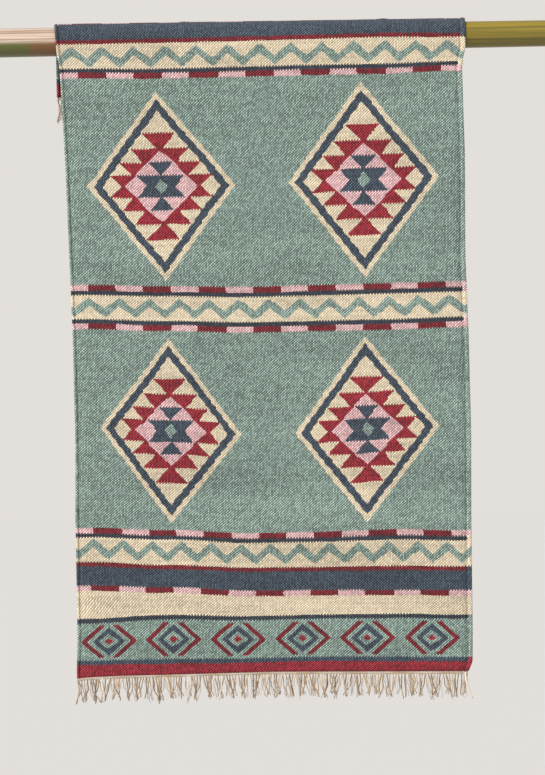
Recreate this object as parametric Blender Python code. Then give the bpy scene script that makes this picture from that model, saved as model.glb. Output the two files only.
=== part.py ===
"""A flat-woven wool kilim hung over a bamboo pole, with its warp fringes.

The origin is on the pole's axis, at the middle of the rug's width. X runs along the pole,
Z is up, and the long front panel faces -Y. All lengths are in metres. A drop is a distance
below the pole's axis.
"""

import math
import random
from typing import NamedTuple

import bmesh
import bpy
import numpy as np

CLEARANCE = 0.0003

# The pole is a bamboo culm, thicker at its left end. Each node is a low ring on it.
POLE_LENGTH = 0.960
POLE_MID_RADIUS = 0.0208
POLE_TAPER = -0.0027
POLE_SIDES = 32
POLE_NODES = (-0.417, -0.117, 0.183)
NODE_RISE = 0.0011
NODE_REACH = 0.012
RINGS_EACH_SIDE = 3
POLE_END_BEVEL = 0.0012

# The rug is 0.60 by 1.10 m without its fringes. It hangs nearly all to the front.
CLOTH_THICKNESS = 0.003
BACK_DROP = 0.085
BACK_LEFT = -0.307
BACK_RIGHT = 0.306
FRONT_ROW_STEP = 0.042
BACK_ROW_STEP = 0.030
ARC_STEPS = 12
EVEN_COLUMNS = 22
NODE_COLUMN_GAP = 0.0145
EVEN_COLUMN_GAP = 0.024

# The selvages roll back a little where the front panel hangs free.
SELVAGE_ROLL = 0.0035
SELVAGE_WIDTH = 0.020
SELVAGE_COLUMNS = (0.0, 0.35, 0.7)
ROLL_START = 0.030
ROLL_FULL = 0.140

# The fringe is the bare warp, in clumps, below a narrow twined strip.
STRIP_HEIGHT = 0.004
STRIP_THICKNESS = 0.0024
STRANDS = 132
STRAND_SHARE = 0.56
TIP_WIDTH = 0.0014
TIP_THICKNESS = 0.0013
CLUMP_SIZES = (2, 3, 4, 3)
CLUMP_SQUEEZE = 0.64
CLUMP_DRIFT = 0.0016
UNEVEN_LENGTH = 0.04
STRANDS_PER_PANEL = 6

SHARP_EDGE = math.radians(35)


class OutlineRow(NamedTuple):
    """Where the two selvages of the front panel are at one drop."""

    drop: float
    left: float
    right: float


class Fold(NamedTuple):
    """A soft swell of the front panel. A negative rise is a trough."""

    x: float
    drop: float
    half_width: float
    half_drop: float
    rise: float


class Fringe(NamedTuple):
    """One fringe: how long its strands are and how the clumps were dealt."""

    name: str
    mean_length: float
    spread: float
    seed: int


OUTLINE = (
    OutlineRow(0.000, -0.306, 0.304),
    OutlineRow(0.050, -0.301, 0.301),
    OutlineRow(0.180, -0.298, 0.302),
    OutlineRow(0.330, -0.294, 0.300),
    OutlineRow(0.460, -0.291, 0.303),
    OutlineRow(0.600, -0.290, 0.304),
    OutlineRow(0.720, -0.292, 0.302),
    OutlineRow(0.900, -0.292, 0.302),
    OutlineRow(0.957, -0.294, 0.297),
)
CREST_LEFT = -0.308
CREST_RIGHT = 0.306

# The front hem's drop at the left selvage, the middle and the right selvage.
HEM_DROPS = (0.953, 0.951, 0.957)

FOLDS = (
    Fold(-0.02, 0.290, 0.34, 0.060, -0.0030),
    Fold(0.05, 0.670, 0.30, 0.055, -0.0040),
    Fold(-0.19, 0.500, 0.10, 0.210, 0.0045),
    Fold(0.17, 0.820, 0.10, 0.230, 0.0060),
    Fold(-0.09, 0.900, 0.09, 0.160, 0.0050),
    Fold(0.28, 0.955, 0.05, 0.045, 0.0070),
)

FRINGES = (
    Fringe("front_fringe", 0.035, 0.0035, 11),
    Fringe("back_fringe", 0.037, 0.0030, 23),
)


def remove_startup_objects():
    for obj in list(bpy.data.objects):
        bpy.data.objects.remove(obj, do_unlink=True)


def principled(name, colour, roughness):
    material = bpy.data.materials.new(name)
    material.use_nodes = True
    shader = material.node_tree.nodes["Principled BSDF"]
    shader.inputs["Base Color"].default_value = (*colour, 1.0)
    shader.inputs["Roughness"].default_value = roughness
    shader.inputs["Metallic"].default_value = 0.0
    return material


def add_object(name, material, build_mesh, *details):
    """A named object whose mesh build_mesh fills in a bmesh, with all faces turned outwards."""
    shape = bmesh.new()
    build_mesh(shape, *details)
    bmesh.ops.recalc_face_normals(shape, faces=shape.faces)
    mesh = bpy.data.meshes.new(name)
    shape.to_mesh(mesh)
    shape.free()
    mesh.materials.append(material)
    obj = bpy.data.objects.new(name, mesh)
    bpy.context.collection.objects.link(obj)
    return obj


def pole_radius(x):
    """The culm's radius at x: an even taper, and a cosine hump at each node."""
    radius = POLE_MID_RADIUS + POLE_TAPER * x
    for node in POLE_NODES:
        away = np.clip(np.abs(x - node) / NODE_REACH, 0.0, 1.0)
        radius = radius + NODE_RISE * (0.5 + 0.5 * np.cos(math.pi * away))
    return radius


def pole_sections():
    """(x, radius) of each ring of points along the pole, from left to right."""
    half = POLE_LENGTH / 2
    places = [-half + POLE_END_BEVEL, half - POLE_END_BEVEL]
    steps = range(-RINGS_EACH_SIDE, RINGS_EACH_SIDE + 1)
    for node in POLE_NODES:
        places += [node + step * NODE_REACH / RINGS_EACH_SIDE for step in steps]
    places.sort()
    rings = [(x, float(pole_radius(x))) for x in places]
    first = (-half, rings[0][1] - POLE_END_BEVEL)
    last = (half, rings[-1][1] - POLE_END_BEVEL)
    return [first, *rings, last]


def build_pole(shape):
    turns = [2 * math.pi * side / POLE_SIDES for side in range(POLE_SIDES)]
    rings = [
        [shape.verts.new((x, r * math.cos(turn), r * math.sin(turn))) for turn in turns]
        for x, r in pole_sections()
    ]
    for near, far in zip(rings, rings[1:]):
        for side in range(POLE_SIDES):
            after = (side + 1) % POLE_SIDES
            shape.faces.new((near[side], near[after], far[after], far[side]))
    shape.faces.new(rings[0])
    shape.faces.new(rings[-1])


def smooth_step(value):
    share = np.clip(value, 0.0, 1.0)
    return share * share * (3.0 - 2.0 * share)


def selvages_at(drop):
    """Left and right selvage of the front panel at a drop."""
    drops = [row.drop for row in OUTLINE]
    left = np.interp(drop, drops, [row.left for row in OUTLINE])
    right = np.interp(drop, drops, [row.right for row in OUTLINE])
    return left, right


def column_shares():
    """Places across the rug, 0 at the left selvage and 1 at the right.

    They are even, closer at the selvages, with one on each pole node under the rug and one
    either side of it, so that the cloth rides over the node.
    """
    width = CREST_RIGHT - CREST_LEFT
    covered = [node for node in POLE_NODES if CREST_LEFT < node < CREST_RIGHT]
    over_nodes = [node + side * NODE_COLUMN_GAP for node in covered for side in (-1, 0, 1)]
    near_edge = SELVAGE_WIDTH * np.array(SELVAGE_COLUMNS)
    even = np.linspace(CREST_LEFT + SELVAGE_WIDTH, CREST_RIGHT - SELVAGE_WIDTH, EVEN_COLUMNS)
    apart = [x for x in even if min(abs(x - node) for node in covered) > EVEN_COLUMN_GAP]
    places = [*(CREST_LEFT + near_edge), *apart, *over_nodes, *(CREST_RIGHT - near_edge)]
    return (np.sort(np.array(places)) - CREST_LEFT) / width


def cloth_radius(x):
    """Radius of the cloth's middle where it lies on the pole.

    It is opened by the sag of each chord, so that a straight facet still clears the pole.
    """
    half_turn = math.pi / ARC_STEPS / 2
    return (pole_radius(x) + CLEARANCE) / math.cos(half_turn) + CLOTH_THICKNESS / 2


def fold_rise(x, drop):
    """How far the front panel swells forward: a sum of soft round-topped swells."""
    total = np.zeros_like(x)
    for fold in FOLDS:
        across = ((x - fold.x) / fold.half_width) ** 2
        down = ((drop - fold.drop) / fold.half_drop) ** 2
        total = total + fold.rise * np.exp(-across - down)
    return total


def selvage_roll(shares, drop, width):
    """How far the cloth has rolled back: nothing inside, most at the selvage."""
    to_edge = np.minimum(shares, 1.0 - shares) * width
    at_edge = 1.0 - smooth_step(to_edge / SELVAGE_WIDTH)
    free = smooth_step((drop - ROLL_START) / (ROLL_FULL - ROLL_START))
    return SELVAGE_ROLL * at_edge * free


def front_row(share_down, shares):
    """Points of the front panel at a share of the hem's drop."""
    drop = share_down * np.interp(shares, (0.0, 0.5, 1.0), HEM_DROPS)
    left, right = selvages_at(drop)
    x = left + (right - left) * shares
    fade = smooth_step(drop / ROLL_FULL)
    y = -cloth_radius(x) - fade * fold_rise(x, drop) + selvage_roll(shares, drop, right - left)
    return np.stack([x, y, -drop], axis=1)


def arc_row(turn, shares):
    """Points over the pole at an angle from the front tangent to the back one."""
    towards_crest = math.sin(turn)
    at_foot = (OUTLINE[0].left, OUTLINE[0].right)
    if turn > math.pi / 2:
        at_foot = (BACK_LEFT, BACK_RIGHT)
    left = at_foot[0] + (CREST_LEFT - at_foot[0]) * towards_crest
    right = at_foot[1] + (CREST_RIGHT - at_foot[1]) * towards_crest
    x = left + (right - left) * shares
    radius = cloth_radius(x)
    return np.stack([x, -radius * math.cos(turn), radius * math.sin(turn)], axis=1)


def back_row(drop, shares):
    """Points of the short flap behind, which hangs straight from the pole."""
    x = BACK_LEFT + (BACK_RIGHT - BACK_LEFT) * shares
    return np.stack([x, cloth_radius(x), np.full_like(x, -drop)], axis=1)


def cloth_rows():
    """The middle surface of the draped rug, row by row from the front hem to the back one."""
    shares = column_shares()
    front_steps = round(max(HEM_DROPS) / FRONT_ROW_STEP)
    back_steps = round(BACK_DROP / BACK_ROW_STEP)
    rows = [front_row(step / front_steps, shares) for step in range(front_steps, 0, -1)]
    rows += [arc_row(math.pi * step / ARC_STEPS, shares) for step in range(ARC_STEPS + 1)]
    rows += [back_row(BACK_DROP * step / back_steps, shares) for step in range(1, back_steps + 1)]
    return rows


def build_cloth(shape):
    rows = [[shape.verts.new(point) for point in row] for row in cloth_rows()]
    for lower, upper in zip(rows, rows[1:]):
        for column in range(len(lower) - 1):
            after = column + 1
            shape.faces.new((lower[column], lower[after], upper[after], upper[column]))


def add_cloth(material):
    obj = add_object("kilim", material, build_cloth)
    wall = obj.modifiers.new("cloth thickness", "SOLIDIFY")
    wall.thickness = CLOTH_THICKNESS
    wall.offset = 0.0
    wall.use_even_offset = True
    return obj


def along_hem(hem, places):
    """Y and Z of a hem's middle line at these X, straight between the cloth's own columns."""
    return np.interp(places, hem[:, 0], hem[:, 1]), np.interp(places, hem[:, 0], hem[:, 2])


def strand_edges(left, right):
    """X of the strip's ends and of each strand's two edges, left to right."""
    pitch = (right - left) / STRANDS
    middles = left + pitch * (np.arange(STRANDS) + 0.5)
    half = pitch * STRAND_SHARE / 2
    inner = np.stack([middles - half, middles + half], axis=1).reshape(-1)
    return np.concatenate([[left], inner, [right]]), middles


def clump_tips(fringe, middles):
    """(x, forward, length) of each strand's tip, the strands of a clump drawn together."""
    deal = random.Random(fringe.seed)
    tips = []
    while len(tips) < len(middles):
        size = min(deal.choice(CLUMP_SIZES), len(middles) - len(tips))
        members = middles[len(tips):len(tips) + size]
        centre = float(members.mean())
        drift = deal.uniform(-CLUMP_DRIFT, CLUMP_DRIFT)
        length = fringe.mean_length + deal.uniform(-fringe.spread, fringe.spread)
        for middle in members:
            x = centre + drift + (middle - centre) * CLUMP_SQUEEZE
            forward = deal.uniform(-CLUMP_DRIFT, CLUMP_DRIFT)
            tips.append((x, forward, length * (1 + deal.uniform(-UNEVEN_LENGTH, UNEVEN_LENGTH))))
    return tips


def build_fringe(shape, fringe, hem):
    """A strip under the hem, and strands drawn down out of its lower face."""
    edges, middles = strand_edges(hem[0, 0], hem[-1, 0])
    y, z = along_hem(hem, edges)
    half = STRIP_THICKNESS / 2
    top = z - CLEARANCE
    low = top - STRIP_HEIGHT
    front = [shape.verts.new(point) for point in zip(edges, y - half, low)]
    back = [shape.verts.new(point) for point in zip(edges, y + half, low)]
    tips = clump_tips(fringe, middles)
    for place in range(len(edges) - 1):
        root = (front[place], front[place + 1], back[place + 1], back[place])
        if place % 2 == 0:
            shape.faces.new(root)
            continue
        build_strand(shape, root, tips[place // 2], y[place], low[place])
    build_strip_walls(shape, front, back, edges, y, top)


def build_strand(shape, root, tip, y, z):
    """A four-sided strand from its root in the strip to a small flat tip."""
    x, forward, length = tip
    half_x = TIP_WIDTH / 2
    half_y = TIP_THICKNESS / 2
    corners = ((-half_x, -half_y), (half_x, -half_y), (half_x, half_y), (-half_x, half_y))
    end = [
        shape.verts.new((x + aside, y + forward + deep, z - length)) for aside, deep in corners
    ]
    for side in range(4):
        after = (side + 1) % 4
        shape.faces.new((root[side], root[after], end[after], end[side]))
    shape.faces.new(end)


def build_strip_walls(shape, front, back, edges, y, top):
    """The strip's front, back, top and ends, in panels that each span several strands."""
    last = len(edges) - 1
    span = 2 * STRANDS_PER_PANEL
    marks = [*range(0, last - span + 1, span), last]
    half = STRIP_THICKNESS / 2
    top_front = [shape.verts.new((edges[m], y[m] - half, top[m])) for m in marks]
    top_back = [shape.verts.new((edges[m], y[m] + half, top[m])) for m in marks]
    for panel, (start, stop) in enumerate(zip(marks, marks[1:])):
        after = panel + 1
        shape.faces.new([top_front[panel], top_front[after], *reversed(front[start:stop + 1])])
        shape.faces.new([top_back[after], top_back[panel], *back[start:stop + 1]])
        shape.faces.new((top_front[after], top_front[panel], top_back[panel], top_back[after]))
    shape.faces.new((top_front[0], front[0], back[0], top_back[0]))
    shape.faces.new((front[-1], top_front[-1], top_back[-1], back[-1]))


def main():
    remove_startup_objects()
    teal_wool = principled("teal wool", (0.22, 0.29, 0.25), 0.95)
    cream_warp = principled("cream warp yarn", (0.62, 0.52, 0.38), 0.95)
    bamboo = principled("aged bamboo", (0.35, 0.26, 0.07), 0.38)
    pole = add_object("bamboo_pole", bamboo, build_pole)
    pole.data.shade_smooth()
    pole.data.set_sharp_from_angle(angle=SHARP_EDGE)
    cloth = add_cloth(teal_wool)
    cloth.data.shade_smooth()
    rows = cloth_rows()
    for fringe, hem in zip(FRINGES, (rows[0], rows[-1])):
        add_object(fringe.name, cream_warp, build_fringe, fringe, hem)


main()
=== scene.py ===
"""Looks of a flat-woven wool kilim that hangs over a bamboo pole.

The rug is one draped sheet. Its pattern is worked out in the material, bead by bead of weft, so
that every edge between two colours has the teeth of a real flat weave. Lengths are in metres.
A drop is a distance below the pole's axis. "Across" runs from the left selvage to the right one,
and "along" runs from the middle of the rug's centre band towards the back hem.
"""

import logging
import math
from dataclasses import dataclass
from enum import Enum
from typing import NamedTuple, Sequence

import bpy
import numpy as np
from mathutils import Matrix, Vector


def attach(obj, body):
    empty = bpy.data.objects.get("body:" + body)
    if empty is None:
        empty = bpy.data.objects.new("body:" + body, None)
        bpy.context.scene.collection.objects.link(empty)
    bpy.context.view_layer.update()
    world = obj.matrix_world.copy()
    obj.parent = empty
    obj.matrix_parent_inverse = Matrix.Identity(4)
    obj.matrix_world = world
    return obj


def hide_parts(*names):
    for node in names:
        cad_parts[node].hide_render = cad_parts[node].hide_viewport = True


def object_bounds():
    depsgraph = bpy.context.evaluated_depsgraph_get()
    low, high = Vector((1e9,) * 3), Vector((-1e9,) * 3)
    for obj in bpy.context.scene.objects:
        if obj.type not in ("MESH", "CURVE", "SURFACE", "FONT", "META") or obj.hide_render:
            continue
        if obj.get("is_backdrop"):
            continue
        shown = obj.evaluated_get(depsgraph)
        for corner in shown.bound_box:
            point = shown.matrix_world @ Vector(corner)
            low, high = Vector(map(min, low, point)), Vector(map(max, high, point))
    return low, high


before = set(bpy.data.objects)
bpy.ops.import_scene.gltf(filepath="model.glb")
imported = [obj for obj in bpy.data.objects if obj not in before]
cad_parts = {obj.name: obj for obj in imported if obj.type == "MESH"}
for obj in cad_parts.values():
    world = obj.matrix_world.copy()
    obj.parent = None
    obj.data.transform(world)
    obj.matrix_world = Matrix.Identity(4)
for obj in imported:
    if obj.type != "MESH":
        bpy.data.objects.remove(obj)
CAD_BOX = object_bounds()

LOG = logging.getLogger("kilim")
MM = 0.001
PHOTO_WIDTH = 545
PHOTO_HEIGHT = 775

# The UV map that holds each point's place on the flat cloth, or round and along a strand.
FLAT = "flat"
# A Mix node for colours: input 0 is the share, 6 the colour below and 7 the colour above. A noise
# takes its place, then its scale, detail and roughness.
MIX = {"out": 2, "data_type": "RGBA"}

Array = np.ndarray
Socket = bpy.types.NodeSocket
Layers = list[tuple[Socket, "Yarn"]]


def linear(code: str) -> tuple[float, float, float, float]:
    """Turns an sRGB hex colour into linear values for Blender.

    Args:
        code: six hex digits, such as "d8c7aa".

    Returns:
        Linear red, green, blue and an alpha of one.
    """
    parts = [int(code[start:start + 2], 16) / 255 for start in (0, 2, 4)]
    red, green, blue = [p / 12.92 if p <= 0.04045 else ((p + 0.055) / 1.055) ** 2.4 for p in parts]
    return red, green, blue, 1.0


def smooth_step(value: Array) -> Array:
    """Rises from 0 to 1 as value does, with level ends: 3 s squared minus 2 s cubed."""
    share = np.clip(value, 0.0, 1.0)
    return share * share * (3.0 - 2.0 * share)


def mesh_object(name: str, points: Array, faces: Sequence[Sequence[int]]) -> bpy.types.Object:
    """Makes a smooth-shaded mesh object at the origin.

    Args:
        name: the piece's name.
        points: N by 3 places in metres.
        faces: the point numbers of each face, turned outwards.

    Returns:
        The new object, linked to the scene.
    """
    mesh = bpy.data.meshes.new(name)
    mesh.from_pydata(points.tolist(), [], faces)
    mesh.shade_smooth()
    piece = bpy.data.objects.new(name, mesh)
    bpy.context.scene.collection.objects.link(piece)
    return piece


def ring_faces(rings: int, around: int) -> Array:
    """Quads between rings of points that are stored ring by ring.

    Args:
        rings: number of rings.
        around: number of points in each ring.

    Returns:
        One row of four point numbers for each quad.
    """
    here = np.arange(around)
    after = (here + 1) % around
    start = (np.arange(rings - 1) * around)[:, None]
    quads = np.stack([start + here, start + after, start + around + after, start + around + here], -1)
    return quads.reshape(-1, 4)


class NodeTree:
    """The nodes of a material or of the world."""

    def __init__(self, holder: bpy.types.Material | bpy.types.World) -> None:
        """Empties the node tree of a new material or world.

        Args:
            holder: what the nodes belong to.
        """
        holder.use_nodes = True
        self.tree = holder.node_tree
        self.tree.nodes.clear()

    def add(self, kind: str, *inputs: object, out: int | str = 0, at: dict | None = None,
            **settings: object) -> Socket | None:
        """Adds one node with its settings and links.

        Args:
            kind: a shader node's type without its "ShaderNode" prefix, or a Math operation in capitals.
            inputs: sockets, values or hex colours for the inputs in order, None to leave one alone.
            out: the output that is returned.
            at: the same for inputs by name or number.
            settings: properties of the node.

        Returns:
            The output socket, or None for a node that has none.
        """
        is_math = kind.isupper()
        node = self.tree.nodes.new("ShaderNodeMath" if is_math else f"ShaderNode{kind}")
        if is_math:
            node.operation = kind
        for name, value in settings.items():
            setattr(node, name, value)
        given = [(place, value) for place, value in enumerate(inputs) if value is not None]
        for place, value in [*given, *(at or {}).items()]:
            if isinstance(value, bpy.types.NodeSocket):
                self.tree.links.new(value, node.inputs[place])
            else:
                node.inputs[place].default_value = linear(value) if isinstance(value, str) else value
        return node.outputs[out] if node.outputs else None


def with_stops(ramp: Socket, stops: Sequence[tuple[float, str | float]], kind: str = "LINEAR") -> Socket:
    """Sets the stops of a colour ramp.

    Args:
        ramp: the ramp's colour output.
        stops: (position, hex colour or grey) pairs in order.
        kind: the ramp's interpolation.

    Returns:
        The same socket.
    """
    colours = ramp.node.color_ramp
    colours.interpolation = kind
    while len(colours.elements) < len(stops):
        colours.elements.new(1.0)
    for element, (position, colour) in zip(colours.elements, stops):
        element.position = position
        element.color = linear(colour) if isinstance(colour, str) else (colour,) * 3 + (1.0,)
    return ramp


class Finish:
    """What a piece wears. Each kind of finish makes its own shader."""

    name: str

    def shader(self, nodes: NodeTree) -> Socket:
        """Makes the finish's shader."""
        raise NotImplementedError

    def coat(self, piece: bpy.types.Object) -> None:
        """Gives a piece the material.

        Args:
            piece: the mesh object.
        """
        material = bpy.data.materials.new(self.name)
        nodes = NodeTree(material)
        nodes.add("OutputMaterial", self.shader(nodes))
        piece.data.materials.append(material)


def dress(piece: bpy.types.Object, finish: Finish, places: Array | None = None) -> None:
    """Gives a piece its body, its finish and its UV map.

    Args:
        piece: the mesh object.
        finish: what it wears.
        places: one (u, v) for each point, where the finish follows the surface.
    """
    if places is not None:
        corners = np.empty(len(piece.data.loops), dtype=np.int32)
        piece.data.loops.foreach_get("vertex_index", corners)
        layer = piece.data.uv_layers.new(name=FLAT)
        layer.data.foreach_set("uv", places[corners].astype(np.float32).ravel())
    finish.coat(piece)
    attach(piece, "root")


class Yarn(str, Enum):
    """The dyed wools, by sRGB colour of a bead of yarn in plain light."""

    TEAL = "8aa19a"
    CREAM = "e8dbc0"
    NAVY = "42505f"
    INK = "353e4a"
    BURGUNDY = "982837"
    MAROON = "7c222e"
    PINK = "e5bdc2"


class Stripe(NamedTuple):
    """One stripe, counted from the rug's centre line outwards."""

    yarn: Yarn
    width: float
    dashed: bool = False


STRIPES = (
    Stripe(Yarn.CREAM, 17.5 * MM),
    Stripe(Yarn.INK, 6.3 * MM),
    Stripe(Yarn.MAROON, 9.0 * MM, dashed=True),
    Stripe(Yarn.TEAL, 300.5 * MM),
    Stripe(Yarn.MAROON, 9.0 * MM, dashed=True),
    Stripe(Yarn.INK, 6.3 * MM),
    Stripe(Yarn.CREAM, 36.8 * MM),
    Stripe(Yarn.MAROON, 6.0 * MM),
    Stripe(Yarn.NAVY, 30.0 * MM),
    Stripe(Yarn.MAROON, 9.0 * MM, dashed=True),
    Stripe(Yarn.CREAM, 31.0 * MM),
    Stripe(Yarn.INK, 6.6 * MM),
    Stripe(Yarn.TEAL, 57.6 * MM),
    Stripe(Yarn.NAVY, 6.0 * MM),
    Stripe(Yarn.BURGUNDY, 18.0 * MM),
)
# Thinner stripes stop short of the right selvage.
THINNEST_AT_SELVAGE = 8.0 * MM
# The stripes that carry the outer zigzags and the eyes.
OUTER_CREAM = 6
EYE_BAND = 12


def stripe_start(place: int) -> float:
    """Distance from the centre line to a stripe's inner edge."""
    return sum(stripe.width for stripe in STRIPES[:place])


def stripe_middle(place: int) -> float:
    """Distance from the centre line to a stripe's middle."""
    return stripe_start(place) + STRIPES[place].width / 2


class Lozenge(NamedTuple):
    """One large stepped lozenge: its centre on the flat rug, its half sizes and how skewed it is.

    Its lean is how far it shifts across for each metre along, and its rise how far along for
    each metre across.
    """

    across: float
    along: float
    half_width: float
    half_height: float
    lean: float
    rise: float


class Quarter(Enum):
    """The four large lozenges, by the quarter of the rug that each one fills."""

    TOP_LEFT = Lozenge(-0.1570, 0.1790, 0.1111, 0.1370, -0.016, 0.019)
    TOP_RIGHT = Lozenge(0.1478, 0.1839, 0.1134, 0.1404, 0.0, 0.013)
    LOW_LEFT = Lozenge(-0.1547, -0.1857, 0.1070, 0.1398, -0.005, -0.014)
    LOW_RIGHT = Lozenge(0.1428, -0.1836, 0.1096, 0.1402, 0.0, 0.029)


class Stroke(NamedTuple):
    """A slanting stroke of an eye: where aside plus the slant times above is near its size."""

    slant: float
    size: float
    half_width: float


@dataclass(frozen=True)
class DyedWool(Finish):
    """Wool weft, hand dyed and plain woven so that it hides the warp.

    It is matt and a little hairy: a soft sheen at grazing angles, painted shade in the pits
    between the beads and painted light on their crowns, a diagonal lie from the yarn's twist,
    and shades that drift from one pick to the next. A rate is the noise's cells to the metre.
    """

    name: str = "wool weft, dyed and plain woven"
    warp_gap: float = 2.23 * MM
    pick_gap: float = 1.98 * MM
    lean: float = 0.22
    tooth: float = 0.70
    bulge: float = 1.2
    bead_length: float = 2.15
    bead_relief: float = 1.15 * MM
    fibre_relief: float = 0.12 * MM
    fibre_rate: float = 1400.0
    # Painted shade in the pits and painted light on the crowns, as factors on the dye.
    painted_pit_shade: float = 0.02
    painted_crown_light: float = 2.15
    pit_span: tuple[float, float] = (0.05, 0.95)
    pale_from: float = 0.20
    pale_to: float = 0.62
    pale_pits: float = 0.34
    dull_bead: float = 0.62
    bright_bead: float = 1.38
    # A painted sheen: the share of pale grey mixed onto each crown, and the grey.
    painted_sheen: float = 0.045
    painted_sheen_colour: str = "d9d6d2"
    base_shade: float = 0.38
    streak_rate: tuple[float, float, float] = (9.0, 260.0, 1.0)
    streak_shade: float = 0.42
    patch_rate: tuple[float, float, float] = (4.0, 17.0, 1.0)
    patch_start: tuple[float, float, float] = (3.1, 1.7, 0.0)
    patch_shade: float = 0.46
    warp_size: tuple[float, float] = (14.0 * MM, 90.0 * MM)
    warp_stray: float = 0.35
    pick_size: tuple[float, float] = (34.0 * MM, 16.0 * MM)
    pick_stray: float = 0.60
    hand: float = 0.6 * MM
    hand_reach: float = 42.0 * MM
    turn_scatter: float = 0.4 * MM
    roughness: float = 0.88
    sheen: float = 0.10
    sheen_spread: float = 0.5
    specular: float = 0.15
    relief_strength: float = 0.9

    dash_start: float = -0.2725
    dash_pitch: float = 0.0833
    dash_share: float = 0.51
    # How far up the rug from the front hem, as a share, and the slip from there on.
    dash_slips: tuple[tuple[float, float], ...] = (
        (0.0, 6.0 * MM), (0.15, 0.0), (0.33, 3.3 * MM), (0.50, 1.4 * MM), (0.65, 1.0 * MM))

    zigzag_start: float = -0.2950
    zigzag_outer_start: float = -3.9 * MM
    zigzag_upper_start: float = -2.9 * MM
    zigzag_pitch: float = 45.4 * MM
    zigzag_widening: float = 0.64 * MM
    zigzag_rise: float = 16.2 * MM
    zigzag_stroke: float = 13.2 * MM
    zigzag_blunt: float = 0.06

    border_edges: tuple[float, float, float] = (1.0, 0.918, 0.800)
    column_edges: tuple[float, ...] = (0.0, 0.207, 0.362, 0.527, 0.672)
    row_edges: tuple[float, ...] = (0.0, 0.118, 0.254, 0.402, 0.566)
    triangle_tip: float = 0.14
    triangle_spread: float = 1.02
    navy_tip: float = 0.93
    navy_spread: float = 0.80
    navy_step: float = -0.90
    heart_slant: float = 0.62
    heart_size: float = 0.43

    eye_pitch: float = 98.0 * MM
    eye_shift: float = 7.2 * MM
    bracket: Stroke = Stroke(1.126, 37.3 * MM, 4.6 * MM)
    bracket_half_height: float = 24.4 * MM
    ring: Stroke = Stroke(1.22, 19.8 * MM, 5.3 * MM)
    dot_size: float = 5.4 * MM

    half_width: float = 0.300
    selvage_from: float = 0.2925
    selvage_reach: float = 12.0 * MM
    painted_light_gain: float = 1.45
    # How far in from the edge, as a share of the reach, and the factor there: painted light on the
    # rounded cord, painted shade in the groove inside it and, on the right, at the outer edge.
    left_light_and_shade: tuple[tuple[float, float], ...] = (
        (0.0, 0.80), (0.18, 0.88), (0.30, 0.62), (0.42, 0.36), (0.56, 0.69))
    right_light_and_shade: tuple[tuple[float, float], ...] = (
        (0.0, 0.42), (0.10, 0.90), (0.46, 0.86), (0.60, 0.69), (0.70, 0.42), (0.84, 0.69))
    cord_edge: tuple[float, float] = (0.55, 0.40)
    stitch_pitch: float = 3.9 * MM
    stitch_slant: float = 4.4 * MM
    painted_stitch_depth: float = 0.30

    def bead(self, nodes: NodeTree) -> dict[str, Socket]:
        """Finds the bead of weft under each point.

        Each warp is a column of beads, one to every second pick, and next to it they stand half a
        step higher. That is what gives each colour edge its teeth. Warps and picks stray from
        their even places by a slow noise each. A bead's relief is a cosine across it times a
        cosine along it, sheared by the lean of the yarn's twist.

        Args:
            nodes: the material's nodes.

        Returns:
            The place that sets the bead's colour, "across" and "along", its relief, "height",
            from 0 to 1, and its warp and pick counts as a vector, "count".
        """
        add = nodes.add
        place = add("UVMap", uv_map=FLAT)
        across, along = (add("SeparateXYZ", place, out=axis) for axis in "XY")
        counts = []
        for value, gap, size, stray in ((across, self.warp_gap, self.warp_size, self.warp_stray),
                                        (along, self.pick_gap, self.pick_size, self.pick_stray)):
            scaled = add("Mapping", place, at={"Scale": (1 / size[0], 1 / size[1], 1.0)})
            slow = add("TexNoise", scaled, None, 1.0, 2.0, 0.5, noise_dimensions="2D")
            counts.append(add("MULTIPLY_ADD", value, 1 / gap, add("MULTIPLY_ADD", slow, 2 * stray, -stray)))
        warp = add("ROUND", counts[0])
        aside = add("SUBTRACT", counts[0], warp)
        pairs = add("MULTIPLY", add("SUBTRACT", counts[1], warp), 0.5)
        pair = add("ROUND", pairs)
        above = add("MULTIPLY", add("SUBTRACT", pairs, pair), 2.0)
        leaned = add("MULTIPLY_ADD", above, -self.lean, aside)
        bulge = add("MAXIMUM", add("COSINE", add("MULTIPLY", leaned, math.pi / self.bulge)), 0.0)
        rise = add("COSINE", add("MULTIPLY", above, math.pi / self.bead_length))
        return {
            "across": add("MULTIPLY_ADD", aside, -self.warp_gap * self.tooth, across),
            "along": add("MULTIPLY_ADD", above, -self.pick_gap * self.tooth, along),
            "height": add("MULTIPLY", bulge, rise),
            "count": add("CombineXYZ", warp, add("MULTIPLY_ADD", pair, 2.0, warp)),
        }

    def by_hand(self, nodes: NodeTree, bead: dict[str, Socket]) -> tuple[Socket, Socket]:
        """Shifts the drawn motifs a little, as a weaver who counts by eye does.

        A slow noise moves both coordinates. Each bead's own noise moves the place across, since
        the weft turns back a warp early or late.

        Args:
            nodes: the material's nodes.
            bead: the bead under each point.

        Returns:
            The moved places, across and along.
        """
        add = nodes.add
        place = add("CombineXYZ", bead["across"], bead["along"])
        wide = add("TexNoise", place, None, 1 / self.hand_reach, 1.0, 0.5, out="Color", noise_dimensions="2D")
        moved = []
        for start, channel in ((bead["across"], "Red"), (bead["along"], "Green")):
            slow = add("SUBTRACT", add("SeparateColor", wide, out=channel), 0.5)
            moved.append(add("MULTIPLY_ADD", slow, 4 * self.hand, start))
        single = add("TexWhiteNoise", bead["count"], noise_dimensions="2D")
        early = add("MULTIPLY_ADD", single, 2 * self.turn_scatter, -self.turn_scatter)
        return add("ADD", moved[0], early), moved[1]

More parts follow.
